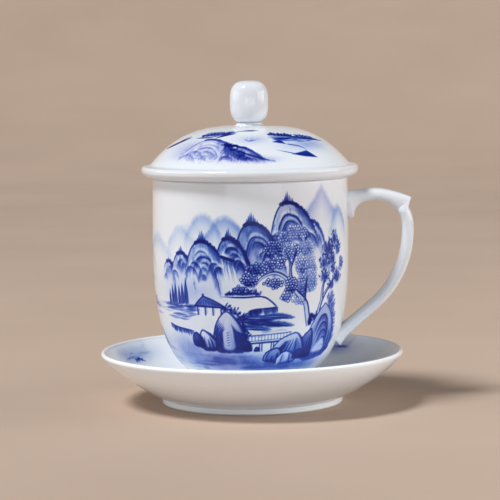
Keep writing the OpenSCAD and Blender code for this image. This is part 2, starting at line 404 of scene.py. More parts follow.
def side_folds(sheet, apex, shape, mist, count, ink):
    """Small folds out on a peak's two sides."""
    body = apex[1] - mist
    for k in range(count):
        side = 1 if k % 3 else -1
        u = sheet.rng.uniform(0.35, 0.75)
        reach = shape[1] if side > 0 else shape[0]
        top = (apex[0] + side * u * reach, apex[1] - 2 - body * (0.2 + 0.55 * u))
        bow = slope(top, (0.28 * shape[0], 0.32 * shape[1], 0.2 * body, 0.28 * body), n=9)
        sheet.stroke(bow - [0, 0.9], 2.0, 0.45 * ink, taper=0.4, soft=1.2, fade=0.3)
        sheet.wipe(bow + [0, 1.0], 1.0, 0.5, soft=0.8)
        sheet.stroke(bow, 0.8, ink * 0.8, taper=(0.4, 0.6), fade=0.3, soft=0.4, shake=0.06)


def falling_strokes(sheet, apex, shape, mist, ink, count=40):
    """Loose dry strokes that fall down and outwards over a peak's face."""
    rng, ridge = sheet.rng, slope(apex, shape)
    for _ in range(count):
        u = rng.uniform(-0.95, 0.98)
        x = apex[0] + u * (shape[0] if u < 0 else shape[1])
        y = np.interp(x, ridge[:, 0], ridge[:, 1]) - rng.uniform(0.5, 0.55 * (apex[1] - mist))
        drop = rng.uniform(2, 6)
        sheet.stroke([(x, y), (x + 0.1 * u * drop, y - drop / 2), (x + 0.35 * u * drop, y - drop)],
                     rng.uniform(0.4, 1.3), ink * rng.uniform(0.25, 0.6),
                     taper=(0.3, 0.7), soft=0.5, fade=0.7)


def wooded_flank(sheet, apex, shape, ink):
    """Dabs of trees down a peak's right side, with a short shadow under each."""
    for k, (x, y) in enumerate(slope(apex, shape, 0.96, n=36)[22:]):
        sheet.stroke([(x - 0.5, y - 0.9), (x + 0.1, y + 0.1), (x + 0.7, y - 0.7)], 1.25 - 0.04 * k,
                     ink * (0.9 - 0.035 * k), taper=0.3, soft=0.35, shake=0.2)
        sheet.stroke([(x, y - 0.4), (x + 0.3, y - 3.2 - sheet.rng.random())], 1.3, ink * 0.5,
                     taper=(0.2, 0.8), soft=0.8, fade=0.7)


def peak(sheet, apex, shape, mist, tone, folds, tall, ink, lean=0.1):
    """A rounded peak that runs down into mist: washed rock, nested folds, and trees on top."""
    shape = np.array(shape)
    peak_wash(sheet, apex, shape, mist, tone)
    sheet.stroke(slope(apex, shape, 0.97), 0.6, ink * 0.9, taper=(0.25, 0.3))
    nested_folds(sheet, apex, shape, mist, folds, ink, lean)
    side_folds(sheet, apex, shape, mist, folds, ink)
    falling_strokes(sheet, apex, shape, mist, ink)
    wooded_flank(sheet, apex, shape, ink)
    crown(sheet, slope(apex, shape * (0.36, 0.26, 0.05, 0.06)), tall, min(1, ink * 1.08))


# ---------------- rocks, trees, shores and buildings

def rock(sheet, foot_left, top, foot_right, bulge=0.25, ribs=5, ink=0.85, pale=0.12, blunt=0.3):
    """A boulder: pale on top, with ribs that thicken downwards into a dark foot."""
    a, t, b = (np.array(p, float) for p in (foot_left, top, foot_right))
    tall, wide = t[1] - min(a[1], b[1]), b[0] - a[0]

    def flank(foot, out):
        """One side, bulging outwards, from the foot to near the top."""
        s = np.linspace(0, 1, 9)[:, None]
        tip = t + [out * blunt * 0.35 * wide, -0.5 * blunt * 0.3 * tall]
        c = np.array([foot[0] + out * bulge * 0.5 * wide, foot[1] + 0.62 * tall])
        return (1 - s) ** 2 * foot + 2 * s * (1 - s) * c + s * s * tip

    def shade(x, y):
        down = np.clip((t[1] - y) / tall, 0, 1)
        across = np.clip((x - a[0]) / wide, 0, 1)
        return pale + 0.5 * ink * down**1.6 * (0.35 + across)

    left, right = flank(a, -1), flank(b, 1)
    rim = np.vstack([left, [t], right[::-1]])
    sheet.fill(rim, shade, soft=0.35)
    sheet.stroke(rim, 0.6, ink * 0.8, taper=0.03, shake=0.07)
    sheet.stroke(right[::-1] - [0.3, 0], 1.5, ink * 0.7, taper=(0.3, 0.03), soft=0.8)
    for k in range(ribs):
        f = (k + 0.6 + sheet.rng.normal(0, 0.1)) / (ribs + 0.2)
        reach = sheet.rng.uniform(0.5, 0.9)
        whole = left * (1 - f) + right * f
        rib = whole[: max(3, int(len(whole) * reach))][::-1]
        dark = ink * (0.6 + 0.45 * f)
        sheet.stroke(rib + [0.5, 0], 0.16 * wide / ribs * 5, dark * 0.5, taper=(0.9, 0.05), soft=1.0)
        sheet.stroke(rib, sheet.rng.uniform(0.6, 1.2), dark, taper=(0.7, 0.05), soft=0.35, shake=0.06)
    sheet.stroke([a + [0.3, 0.3], (a + b) / 2 + [0, 0.2], b + [-0.3, 0.4]], 0.14 * tall + 0.5,
                 ink * 0.85, taper=0.15, soft=0.8, shake=0.1)


def leaves(sheet, centre, size, ink, pitch=1.3):
    """A cluster of small round leaves: dark between them, each with a lighter middle."""
    (cx, cy), (rx, ry), rng = centre, size, sheet.rng
    part, x, y = sheet.window((cx - 1.4 * rx, cy - 1.4 * ry), (cx + 1.4 * rx, cy + 1.4 * ry))
    edge = 1 - np.hypot((x - cx) / rx, (y - cy) / ry) + 1.1 * (sheet.mottle[part] - 0.5)
    inside = np.clip(edge * 4 + 0.2, 0, 1)
    sheet.tone[part] *= 1 - 0.5 * inside
    depth = np.clip(0.35 + 1.3 * (sheet.mottle[part] - 0.3) + 0.4 * (cy - y) / ry, 0.1, 1)
    sheet.lay(part, inside * ink * depth)
    rows, cols = int(2.6 * ry / pitch) + 2, int(2.6 * rx / pitch) + 2
    for j in range(rows):
        for i in range(cols):
            px = cx - 1.3 * rx + (i + 0.5 * (j % 2)) * pitch + rng.normal(0, 0.2)
            py = cy - 1.3 * ry + j * pitch * 0.88 + rng.normal(0, 0.2)
            spot, sx, sy = sheet.window((px - 1, py - 1), (px + 1, py + 1))
            away = math.hypot((px - cx) / rx, (py - cy) / ry) - 1.1 * (sheet.mottle[spot].mean() - 0.5)
            if away + rng.normal(0, 0.05) > 1.04:
                continue
            radius = rng.uniform(0.5, 0.66)
            gap = np.hypot(sx - px, sy - py)
            light = 0.35 + 0.38 * min(1, away)
            sheet.tone[spot] *= 1 - light * np.clip((radius - 0.16 - gap) / 0.22 + 0.5, 0, 1)
            ring = np.clip((0.15 - abs(gap - radius)) / 0.18 + 0.5, 0, 1)
            sheet.tone[spot] = np.maximum(sheet.tone[spot], ring * ink * rng.uniform(0.75, 1.0))


def branch(sheet, points, width, ink=0.85):
    """A limb: pale inside, with a dark line down each side that closes towards its thin tip."""
    path = flowing(points)
    way = np.gradient(path, axis=0)
    across = np.stack([-way[:, 1], way[:, 0]], axis=1) / np.hypot(*way.T)[:, None]
    half = width / 2 * np.linspace(1, 0.25, len(path))[:, None]
    one_side, other_side = path + across * half, path - across * half
    sheet.fill(np.vstack([one_side, other_side[::-1]]), 0.16 * ink, soft=0.2, smooth=False)
    sheet.stroke(one_side, 0.42, ink * 0.75, taper=(0.02, 0.3))
    sheet.stroke(other_side, 0.62, ink, taper=(0.02, 0.3))


def in_circle(rng):
    """A random place in a circle of radius 1."""
    angle, r = rng.uniform(0, math.tau), math.sqrt(rng.random())
    return r * math.cos(angle), r * math.sin(angle)


def needles(sheet, centre, size, ink, count):
    """A bushy clump of short strokes that point up and outwards over a darker heart."""
    sheet.cloud(centre, (0.75 * size[0], 0.75 * size[1]), 0.75 * ink, power=3.0)
    for _ in range(count):
        u, v = in_circle(sheet.rng)
        x, y = centre[0] + u * size[0], centre[1] + v * size[1]
        long = sheet.rng.uniform(0.8, 1.7)
        lean = 0.8 * u + sheet.rng.normal(0, 0.45)
        sheet.stroke([(x, y), (x + lean * long * 0.7, y + long * (0.75 + 0.3 * v))], 0.6,
                     ink * sheet.rng.uniform(0.6, 1.05), taper=(0.1, 0.6))


def stipple(sheet, centre, size, ink, count):
    """A soft patch of fine dots."""
    for _ in range(count):
        u, v = in_circle(sheet.rng)
        x, y = centre[0] + u * size[0], centre[1] + v * size[1]
        sheet.stroke([(x, y), (x + 0.35, y + 0.25)], sheet.rng.uniform(0.3, 0.6),
                     ink * sheet.rng.uniform(0.4, 1), taper=0.1)


def bank(sheet, edge, tall, ink):
    """A shore's steep front: short uneven strokes that hang from its edge, and the edge itself."""
    rng = sheet.rng
    for x, y in flowing(edge, pace=0.75):
        drop = tall * rng.uniform(0.7, 1.1)
        sheet.stroke([(x, y), (x + rng.normal(0, 0.1), y - drop)], rng.uniform(0.7, 1.5),
                     ink * rng.uniform(0.55, 1.0), taper=(0.05, 0.4), soft=0.45, fade=0.35)
    sheet.stroke(edge, 0.5, ink, taper=0.1)


def cypress(sheet, foot, tall, ink=0.55):
    """A slim upright tree of long strokes."""
    x, y = foot
    sheet.stroke([(x, y), (x, y + tall)], 0.22 * tall, ink * 0.7, taper=(0.1, 0.7), soft=0.5)
    for k in range(5):
        dx = (k - 2) * 0.035 * tall
        tip = (x + 0.2 * dx, y + tall * (1 - 0.06 * abs(k - 2)))
        sheet.stroke([(x + 1.3 * dx, y + 0.2), (x + dx, y + 0.5 * tall), tip], 0.42, ink * 1.15,
                     taper=(0.1, 0.5), shake=0.05)


def streaks(sheet, left, right, low, high, ink, count, long=9):
    """Level strokes: ripples, or the layers of a bank."""
    rng = sheet.rng
    for _ in range(count):
        x, y = rng.uniform(left, right), rng.uniform(low, high)
        half = long * (0.3 + 0.7 * rng.random()) / 2
        sheet.stroke([(x - half, y), (x, y + rng.normal(0, 0.15)), (x + half, y)],
                     0.45 + 0.7 * rng.random(), ink * (0.4 + 0.6 * rng.random()),
                     taper=(0.4, 0.5), soft=0.5)


def pavilion(sheet, left, right, eave, top, floor, ink=0.8):
    """An open pavilion: a hipped roof with a small finial, on plain posts."""
    wide, tall = right - left, top - eave
    peak_x = left + 0.3 * wide
    roof = [(left, eave), (left + 0.12 * wide, eave + 0.45 * tall), (peak_x, top),
            (peak_x + 0.35 * wide, eave + 0.55 * tall), (right, eave - 0.4),
            (left + 0.5 * wide, eave - 0.1)]
    sheet.fill(roof, 0.62 * ink, smooth=False)
    sheet.stroke(roof[:3], 0.6, ink, taper=0.02)
    sheet.stroke(roof[2:5], 0.6, ink, taper=0.02)
    sheet.stroke([(left - 0.4, eave + 0.3), (left + 2, eave), (right, eave - 0.3)], 0.75, ink, taper=0.05)
    for k in range(9):
        x = left + (k + 1) / 10 * wide
        y = np.interp(x, [left, peak_x, right], [eave, top, eave])
        high = (peak_x + 0.55 * (x - peak_x), 0.5 * y + 0.5 * (eave + 0.5 * tall))
        sheet.stroke([high, (x, eave + 0.2)], 0.3, ink, taper=0.1)
    sheet.stroke([(peak_x, top - 0.3), (peak_x, top + 1.1)], 1.0, ink, taper=(0.05, 0.3))
    for x in np.linspace(left + 1.6, right - 2.5, 4):
        sheet.stroke([(x, eave), (x, floor)], 0.75, ink * 0.8, taper=(0.02, 0.05))
        sheet.stroke([(x + 0.8, eave - 0.5), (x + 0.8, floor + 0.6)], 0.3, ink * 0.4, taper=(0.1, 0.3))


def bridge(sheet, left, right, deck, ink=0.75):
    """A plank footbridge with a railing, on pairs of piers."""
    rise, low_rail, high_rail, pier = 0.06, 1.0, 3.4, 4.2

    def at(x, height):
        return x, deck + height + rise * (x - left)

    for height, width, share in ((0, 0.75, 1), (low_rail, 0.35, 0.8), (high_rail, 0.42, 0.8)):
        sheet.stroke([at(left, height), at(right, height)], width, ink * share, taper=0.02)
    for x in np.arange(left, right, 1.5):
        sheet.stroke([at(x, low_rail), at(x, high_rail)], 0.32, ink * 0.65, taper=0.02)
    for x in np.linspace(left + 0.25 * (right - left), left + 0.8 * (right - left), 3):
        for dx in (0, 1.1):
            sheet.stroke([at(x + dx, 0), at(x + dx, -pier)], 0.6, ink * 0.8, taper=(0.02, 0.15))


def islet(sheet, x, y, half, ink=0.55):
    """A low far shore with a few trees on it."""
    sheet.cloud((x, y - 0.6), (half, 1.6), ink * 0.5)
    streaks(sheet, x - half * 0.7, x + half * 0.7, y - 1.6, y + 0.2, ink, 9, half)
    needles(sheet, (x - 0.25 * half, y + 1.0), (0.4 * half, 1.2), ink * 1.2, int(5 * half))


# ---------------- the cup's landscape

def far_hills(sheet):
    """Pale hills beyond the peaks, all round the cup but for the handle's side."""
    for top, half, tall, ink, power in (
            ((-33, 82), 8, 7, 0.2, 2.0), ((-21.5, 87.8), 8, 8, 0.32, 2.3),
            ((-11.5, 86.5), 9, 9, 0.34, 2.0), ((-27, 84), 5, 4, 0.2, 2.0),
            ((-52, 77), 11, 6, 0.22, 2.0), ((-70, 74), 12, 7, 0.2, 2.0),
            ((33.8, 99), 9, 12, 0.24, 1.15), ((46.0, 88.5), 6.5, 7, 0.32, 2.3),
            ((-97, 80), 13, 10, 0.26, 2.0), ((-114, 88), 10, 14, 0.3, 1.6),
            ((104, 78), 11, 10, 0.22, 2.0), ((122, 85), 11, 12, 0.26, 1.6)):
        sheet.hill(top, half, tall, ink, power)


def peaks(sheet):
    """The range, from its low left end up to the tallest peak and down its long right ridge."""
    peak(sheet, (-41, 65), (5, 4, 4, 4), 58, tone=0.3, folds=1, tall=0.8, ink=0.55)
    peak(sheet, (-33, 69), (6, 7.5, 8, 9), 59, tone=0.4, folds=2, tall=3.2, ink=0.7)
    peak(sheet, (28, 82), (5, 11, 8, 22), 66, tone=0.3, folds=2, tall=0.5, ink=0.55)
    peak(sheet, (16.2, 90.4), (8.5, 16, 18, 18), 70, tone=0.5, folds=5, tall=4.2, ink=0.92, lean=0.05)
    peak(sheet, (0.4, 82), (8.5, 15, 19, 20), 59, tone=0.8, folds=4, tall=4.6, ink=1.0, lean=0.11)
    peak(sheet, (-9.6, 75.8), (6, 11, 11, 17), 58, tone=0.8, folds=3, tall=4.0, ink=1.0)
    peak(sheet, (-21.7, 74.2), (9.5, 13, 16, 16), 58, tone=0.5, folds=5, tall=4.4, ink=0.88, lean=0.02)


def waterfall(sheet):
    """Thin strokes that fall between two peaks, with bare porcelain between them."""
    sheet.fill([(-13, 68.6), (-10, 69), (-6.2, 60), (-6, 54), (-10.5, 54)], 0.02, soft=1.6, hide=0.92)
    for k in range(9):
        x, y = -12.8 + 0.66 * k, 0.2 * k
        foot = (x + 1.9 + 0.12 * k, 59.5 + sheet.rng.normal(0, 1.5))
        sheet.stroke([(x, 68.6 - y), (x + 1.1, 66 - y), foot], 0.4, 0.85, taper=(0.1, 0.8), fade=0.6)
        sheet.stroke([(x - 0.2, 68.8 - y), (x + 0.4, 67.4 - y)], 1.0, 0.95, taper=(0.2, 0.4))


def great_tree(sheet):
    """The tall tree with round leaves: its trunk leans left, and one bough hangs far out."""
    for clump in (((15.5, 76), (4.2, 2.6), 0.75), ((20.8, 78.2), (4.4, 2.6), 0.62),
                  ((10.2, 71.5), (4.2, 3.2), 1.0), ((24.5, 71), (3.6, 3.2), 0.55),
                  ((17.5, 69.5), (4.2, 3.6), 0.8), ((12.5, 66), (4, 2.6), 0.9),
                  ((25.8, 63.6), (4.0, 4.0), 0.5), ((27.2, 57), (3.2, 4.2), 0.5),
                  ((21.5, 64.5), (3, 4), 0.6), ((22, 54.5), (2.8, 4.6), 0.7),
                  ((9.5, 64.3), (5.4, 2.4), 0.95)):
        leaves(sheet, *clump)
    root = (27.6, 37.5)
    branch(sheet, [root, (26, 43), (24.5, 48), (20, 52.5), (15.8, 58), (10.5, 61), (5, 59.5), (1, 55)], 2.5)
    branch(sheet, [(19.2, 53.5), (17.2, 60), (16.8, 65.5), (14, 71.5)], 1.3)
    branch(sheet, [(17, 63), (18.8, 67), (20.2, 71)], 0.8)
    branch(sheet, [(24.3, 48.5), (24.6, 54), (25.4, 59.5)], 0.7)
    for clump in (((3.5, 62.6), (4.6, 2.4), 0.95), ((-0.5, 58), (3.4, 2.6), 1.0),
                  ((9.5, 56.8), (5.4, 2.5), 1.0), ((17, 55.5), (3.0, 3.8), 0.95),
                  ((15.5, 50.8), (2.8, 2.2), 0.75), ((21, 48.6), (3, 1.6), 0.5),
                  ((-4.5, 54.4), (3.2, 1.6), 0.95)):
        leaves(sheet, *clump)
    sheet.stroke([root, (28.6, 42), (30.5, 40)], 2.2, 0.85, soft=0.8)


def right_tree(sheet):
    """The darker tree at the right, with a forked trunk."""
    branch(sheet, [(31.5, 38), (33.2, 46), (36, 51), (41, 56), (44.5, 59)], 1.7, 0.75)
    branch(sheet, [(34, 48.5), (34.5, 54), (37, 60)], 1.3, 0.75)
    for clump in (((35.2, 64), (3.0, 3.6), 0.8, 50), ((38.3, 70), (3.2, 3.8), 0.85, 60),
                  ((40.5, 65), (3.0, 3), 0.85, 40), ((42.6, 74), (2.6, 3.2), 0.8, 36),
                  ((45, 69.5), (2.4, 3), 0.75, 30), ((35.5, 58), (3.4, 3), 0.75, 40),
                  ((44.5, 57.5), (3.4, 3.4), 0.78, 40), ((48.5, 62.5), (2.4, 3), 0.7, 28),
                  ((40, 54), (2.4, 2.2), 0.7, 20), ((41.5, 61), (2.0, 1.8), 0.8, 16)):
        needles(sheet, *clump)


def near_rocks(sheet):
    """The pointed rock at the right, the boulders by the bridge, and the bush behind."""
    for k in range(6):
        needles(sheet, (40.5 + 1.1 * k, 48 - 3.6 * k), (3.0, 3.4), 0.62, 26)
    needles(sheet, (31.5, 40), (2.0, 3.4), 0.95, 26)
    rock(sheet, (26.5, 22.5), (37.0, 46.5), (46, 25), bulge=0.05, ribs=3, ink=0.6, pale=0.2, blunt=0.12)
    for k in range(5):
        s = 1 - 0.12 * k
        bow = slope((37.2 + 0.5 * k, 41.5 - 3.3 * k), (5.2 * s, 4.2 * s, 7.5 * s, 8.5 * s), n=9)
        bow[:, 1] = np.maximum(bow[:, 1], 23.6)
        sheet.stroke(bow - [0, 1], 2.4, 0.42, taper=(0.4, 0.3), soft=1.2)
        sheet.stroke(bow, 0.75, 0.8, taper=0.5, shake=0.07)
    sheet.fill([(33.5, 25.5), (36, 30.5), (39, 31), (41, 26)], 0.06, soft=1.6, hide=0.7)
    rock(sheet, (22.5, 24), (29.5, 36), (31.5, 23.5), bulge=0.1, ribs=6, ink=0.95, pale=0.36, blunt=0.1)
    rock(sheet, (9.5, 25), (20.6, 35), (26.5, 24.5), bulge=0.05, ribs=2, ink=0.75)
    for k in range(4):
        y = 0.4 * k
        sheet.stroke([(12.2 + 1.9 * k, 26.2), (14.6 + 1.7 * k, 29 + y), (17 + 1.1 * k, 31.4 + y)], 1.1,
                     0.9 - 0.12 * k, taper=(0.1, 0.6), soft=0.5)
    rock(sheet, (5.6, 22.6), (12, 28.6), (16.5, 21.8), bulge=0.1, ribs=4, ink=1.0, pale=0.3)
    rock(sheet, (12.8, 20.8), (17.5, 27), (22.5, 21.6), bulge=0.3, ribs=2, ink=0.7, pale=0.1)
    rock(sheet, (21.5, 23.2), (24.3, 27.4), (28, 23.6), bulge=0.3, ribs=3, ink=1.0, pale=0.6)


def middle_rocks(sheet):
    """The tall split boulder in the middle, the small ones beside it, and the scrub behind."""
    for centre, size in (((-11.5, 46), (2.4, 1.3)), ((-8, 44.6), (2.6, 1.8)),
                         ((-5.2, 41.8), (2.2, 2.0)), ((-3.6, 38), (1.7, 2.8)),
                         ((-2.6, 34), (1.5, 2.4))):
        needles(sheet, centre, size, 1.0, 20)
    rock(sheet, (-18.2, 27.6), (-11.2, 44.8), (-2.6, 27.6), bulge=0.10, ribs=0, ink=0.9)
    for k in range(7):
        x = -17.2 + 0.62 * k
        sheet.stroke([(-14.6 + 0.5 * k, 41 - 0.6 * k), (x - 0.3, 35.5), (x, 28.4)], 0.55 + 0.3 * (k % 3),
                     0.95 - 0.12 * (k % 3), taper=(0.7, 0.03), soft=0.4, shake=0.06)
    for k in range(9):
        x = -8.6 + 0.66 * k
        sheet.stroke([(-9.2 + 0.42 * k, 39.5 - 0.6 * k), (x + 0.4, 34.5), (x, 28.2)], 0.5 + 0.35 * (k % 3),
                     0.95 - 0.14 * (k % 3), taper=(0.6, 0.03), soft=0.4, shake=0.06)
    sheet.cloud((-15.8, 31), (1.8, 4), 0.4)
    sheet.cloud((-4.6, 32.5), (2.0, 5), 0.4)

    def cleft_face(x, y):
        return 0.09 + 0.010 * (41 - y) + 0.16 * np.clip((x + 11) / 3, 0, 1)

    sheet.fill([(-13.4, 28.6), (-12.8, 34), (-12.0, 39), (-10.8, 41.5), (-9.6, 38.5), (-8.6, 34),
                (-8.4, 28.6)], cleft_face, soft=1.6, hide=0.9)
    for k in range(6):
        sheet.stroke([(-11.9, 29.8 + 1.1 * k), (-10.4, 30.3 + 1.1 * k)], 0.36, 0.6, taper=0.3)
    rock(sheet, (-25.6, 27.8), (-23.2, 36.4), (-16.4, 27.6), bulge=0.15, ink=1.0, pale=0.06)
    rock(sheet, (-29.8, 29.2), (-27.4, 35.2), (-23.8, 28.6), ribs=4, ink=1.0, pale=0.6)
    rock(sheet, (-4.8, 27.4), (-2.6, 32.4), (-0.3, 27.4), bulge=0.2, ribs=2, ink=1.0, pale=0.75)
    rock(sheet, (1.2, 27.2), (2.3, 29.2), (3.4, 27.4), bulge=0.2, ribs=1, ink=0.95, pale=0.7)


def left_spit(sheet):
    """The pale spit at the left, with its steep front, its layers, and a row of cypresses."""
    sheet.fill([(-45, 38.5), (-36, 41.8), (-24, 42.8), (-17.5, 41.5), (-19, 37), (-28, 36.4),
                (-40, 36.8)], 0.03, soft=0.6)
    bank(sheet, [(-44, 38.2), (-41, 37.2), (-35, 36.4), (-29, 35.9)], 2.6, 0.72)
    streaks(sheet, -45, -26, 40.8, 47.2, 0.5, 34, 11)
    for x, tall in ((-41.5, 6.5), (-39.4, 8.6), (-37.4, 10.0), (-35, 8.2), (-33, 9.4), (-30.8, 11.6)):
        cypress(sheet, (x, 47), tall)
    streaks(sheet, -43, -27, 46.2, 47.6, 0.62, 14, 8)


def middle_shore(sheet):
    """The wooded shore under the waterfall, its banks, and the ripples before it."""
    sheet.cloud((-3.5, 52.6), (6, 0.9), 0.85, power=3.0)
    for k in range(9):
        needles(sheet, (-10.5 + 1.7 * k, 52.2 + 0.9 * math.sin(k * math.pi / 8)), (1.3, 0.8), 0.92, 7)
    sheet.stroke([(-13, 51.2), (-4, 50.9), (4.5, 51.2), (8.2, 49.4), (11.2, 46.6)], 0.6, 0.9,
                 taper=(0.3, 0.05))
    bank(sheet, [(-1, 45.2), (3, 45.9), (8, 46.2), (11.3, 46.5)], 3.0, 0.95)
    bank(sheet, [(-3, 43.9), (0, 44.6), (3, 45)], 1.6, 0.6)
    ripples = (2, 42.2, 9), (12, 42.6, 8), (4, 39.8, 10), (12, 39.2, 8), (1, 37.8, 8), (-2, 40.8, 6)
    for k, (x, y, half) in enumerate(ripples):
        sheet.stroke([(x - half, y + 0.4), (x, y + 0.5), (x + half, y - 1.0)], 1.7, 0.52 + 0.06 * (k % 3),
                     taper=(0.5, 0.35), soft=0.7, shake=0.08)
        sheet.stroke([(x - half * 0.6, y - 0.4), (x + half * 0.9, y - 1.3)], 0.6, 0.92, taper=(0.4, 0.3))
    sheet.cloud((3, 40), (9, 2.6), 0.3)
    streaks(sheet, -2, 13, 37.5, 43, 0.7, 22, 10)
    streaks(sheet, -1, 14, 33.5, 36.5, 0.26, 8, 8)


def shores(sheet):
    """The water in front, and the shores beyond it."""
    for centre, size, ink in (((-12, 22.5), (26, 4.0), 0.46), ((12, 20.4), (26, 3.4), 0.5),
                              ((-34, 27), (14, 6), 0.32), ((-28, 53), (18, 7), 0.16),
                              ((-6, 24.5), (9, 2.4), 0.35), ((30, 19.5), (12, 2.4), 0.3)):
        sheet.cloud(centre, size, ink)
    streaks(sheet, -38, 30, 16.5, 25.5, 0.34, 54, 14)
    left_spit(sheet)
    middle_shore(sheet)


def round_the_back(sheet):
    """Quieter scenery behind: islets, a lesser range, rocks and water."""
    peak(sheet, (-100, 70), (10, 13, 12, 12), 50, tone=0.36, folds=3, tall=3.6, ink=0.72)
    peak(sheet, (-117, 78), (9, 14, 14, 15), 50, tone=0.42, folds=4, tall=4.6, ink=0.8)
    peak(sheet, (117, 69), (9, 13, 11, 12), 50, tone=0.32, folds=3, tall=3.6, ink=0.66)
    for x, y, half in ((-70, 57, 9), (-88, 50, 11), (-122, 49, 12), (92, 56, 9), (110, 50, 11),
                       (-60, 46, 8)):
        islet(sheet, x, y, half)
    for x, tall in ((-93, 8), (-90, 10), (-87, 7.5), (108, 8), (111, 9.5)):
        cypress(sheet, (x, 50), tall)
    pavilion(sheet, -117, -104, 40, 44, 36.5, 0.7)
    rock(sheet, (-113, 26), (-105, 38), (-98, 26))
    rock(sheet, (-100, 24.5), (-95, 31.5), (-90, 24.5), bulge=0.3, ribs=3, ink=0.9)
    rock(sheet, (-66, 27), (-61.5, 35), (-56.5, 27), bulge=0.3, ribs=4, ink=0.75)
    rock(sheet, (112, 25), (118, 35), (125, 25), bulge=0.28, ribs=4, ink=0.8)
    rock(sheet, (85, 27), (89, 33), (93, 27), bulge=0.3, ribs=3, ink=0.7)
    branch(sheet, [(-93, 29), (-90, 37), (-84, 43), (-79, 45)], 1.7, 0.75)
    for clump in (((-90, 46), (5, 3.2), 0.7), ((-82, 48.5), (5.5, 3), 0.6), ((-77, 43), (4.2, 2.4), 0.8)):
        leaves(sheet, *clump)
    for left, right in ((-128, -46), (74, 134)):
        streaks(sheet, left, right, 19, 27, 0.28, 60, 13)
        streaks(sheet, left, right, 38, 48, 0.22, 26, 12)
    for x in (-112, -84, -56, 84, 104, 124):
        sheet.cloud((x, 22), (15, 3), 0.24)


def cup_sheet():
    """The whole painting round the cup."""
    sheet = Sheet(-136, 136, 8, 102, seed=3)
    far_hills(sheet)
    round_the_back(sheet)
    peaks(sheet)
    waterfall(sheet)
    shores(sheet)
    pavilion(sheet, -26.4, -11, 46.8, 51.2, 42.8)
    right_tree(sheet)
    bridge(sheet, -1.5, 19, 30.8)
    near_rocks(sheet)
    great_tree(sheet)
    middle_rocks(sheet)
    return sheet


# ---------------- the lid's and the saucer's scenery

def lid_hill(sheet):
    """The violet-washed hill at the left, the wooded one before it, and its shore."""
    sheet.cloud((-30, 9), (9, 6), 0.2)
    stipple(sheet, (-27, 8), (7, 6), 0.35, 240)
    sheet.violets = [((-25, 11), (14, 9))]
    peak(sheet, (-21, 17), (12, 19, 15, 12), 2.0, tone=0.34, folds=4, tall=0.3, ink=0.5, lean=0.02)
    peak(sheet, (-9, 12.6), (4, 15, 6, 8.5), 2.0, tone=0.5, folds=3, tall=0.8, ink=0.8, lean=0.08)
    stipple(sheet, (-21, 5), (8, 3.5), 0.4, 160)
    for k in range(8):
        x = -12 + 1.3 * k
        needles(sheet, (x, 13.4 - 0.95 * k), (1.7, 1.2), 0.95, 9)
        sheet.stroke([(x, 12.4 - 0.95 * k), (x + 1.4, 8.5 - 0.7 * k), (x + 2.4, 4.6 - 0.35 * k)], 1.5,
                     0.62, taper=(0.2, 0.6), soft=0.8, fade=0.4)
    sheet.stroke([(-3, 8.2), (3, 5.4), (10.5, 2.6)], 1.3, 0.7, taper=(0.2, 0.8), soft=0.5)
    stipple(sheet, (1, 3), (9, 1.5), 0.6, 60)
    sheet.cloud((2, 4), (8, 1.8), 0.3)


def lid_far_bank(sheet):
    """The needled band above the hill, and the strokes that run down from it at the left."""
    for k in range(7):
        x = -30 + 2.8 * k
        needles(sheet, (x, 20.3 + 0.4 * k), (2.4, 1.5), 0.8 + 0.1 * (k % 3), 13)
        needles(sheet, (x + 2.5, 22.6 + 0.3 * k), (2.6, 1.4), 0.55 + 0.2 * (k % 2), 11)
    sheet.stroke([(-34, 18), (-24, 19), (-18, 21)], 1.0, 0.75, taper=0.4)
    sheet.stroke([(-20, 18.6), (-14, 21.3), (-9, 23)], 1.3, 0.9, taper=(0.2, 0.4))
    sheet.stroke([(-53, 9), (-46, 13), (-39, 18.5)], 2.4, 0.9, taper=0.3)
    sheet.stroke([(-46, 15), (-41, 19.5)], 0.8, 0.7, taper=0.3)


def lid_right_shore(sheet):
    """The wooded shore at the right, its layers, and the small spits and strokes beside it."""
    for k in range(6):
        needles(sheet, (13.5 + 2.4 * k, 21.8 - 0.3 * k), (2.1, 1.5), 1.0, 12)
    for k in range(4):
        needles(sheet, (31 + 3.2 * k, 19.6 - 0.7 * k), (2.2, 1.0), 0.85, 9)
    streaks(sheet, 12, 40, 14.5, 19, 0.8, 18, 13)
    for k, (x, y, half) in enumerate(((24, 19.0, 13), (32, 17.4, 13), (38, 15.6, 10), (20, 17.6, 8))):
        sheet.stroke([(x - half, y + 0.9), (x, y + 0.3), (x + half, y - 1.7)], 1.25, 0.74 + 0.05 * (k % 2),
                     taper=(0.5, 0.4), soft=0.5)
    sheet.cloud((30, 12.5), (14, 4), 0.22)
    sheet.cloud((2, 17), (8, 3), 0.18)
    sheet.fill([(11.5, 15), (16.5, 16.8), (18.5, 13.2)], 0.75, soft=0.5, smooth=False)
    sheet.stroke([(19, 13.2), (25, 11.4), (27.5, 9)], 0.55, 0.8, taper=(0.1, 0.4))
    sheet.fill([(18.5, 6.8), (27, 8.6), (30.5, 4.2), (24, 5.2)], 0.72, soft=0.5, smooth=False)
    sheet.stroke([(12, 9.6), (18, 7.6), (24, 5.6)], 0.5, 0.6, taper=(0.5, 0.1))
    stipple(sheet, (1, 17.5), (4.5, 1.6), 0.45, 26)
    sheet.stroke([(-3, 17.2), (0, 16), (3.5, 17)], 0.7, 0.5, taper=0.4)
    for k in range(3):
        x, y = 2 * k, 0.4 * k
        sheet.stroke([(-9 + x, 25.6 + 0.5 * k), (-3 + x, 26.4 + y), (3 + x, 25.8 + y)], 1.2, 0.85,
                     taper=0.5, soft=0.4)


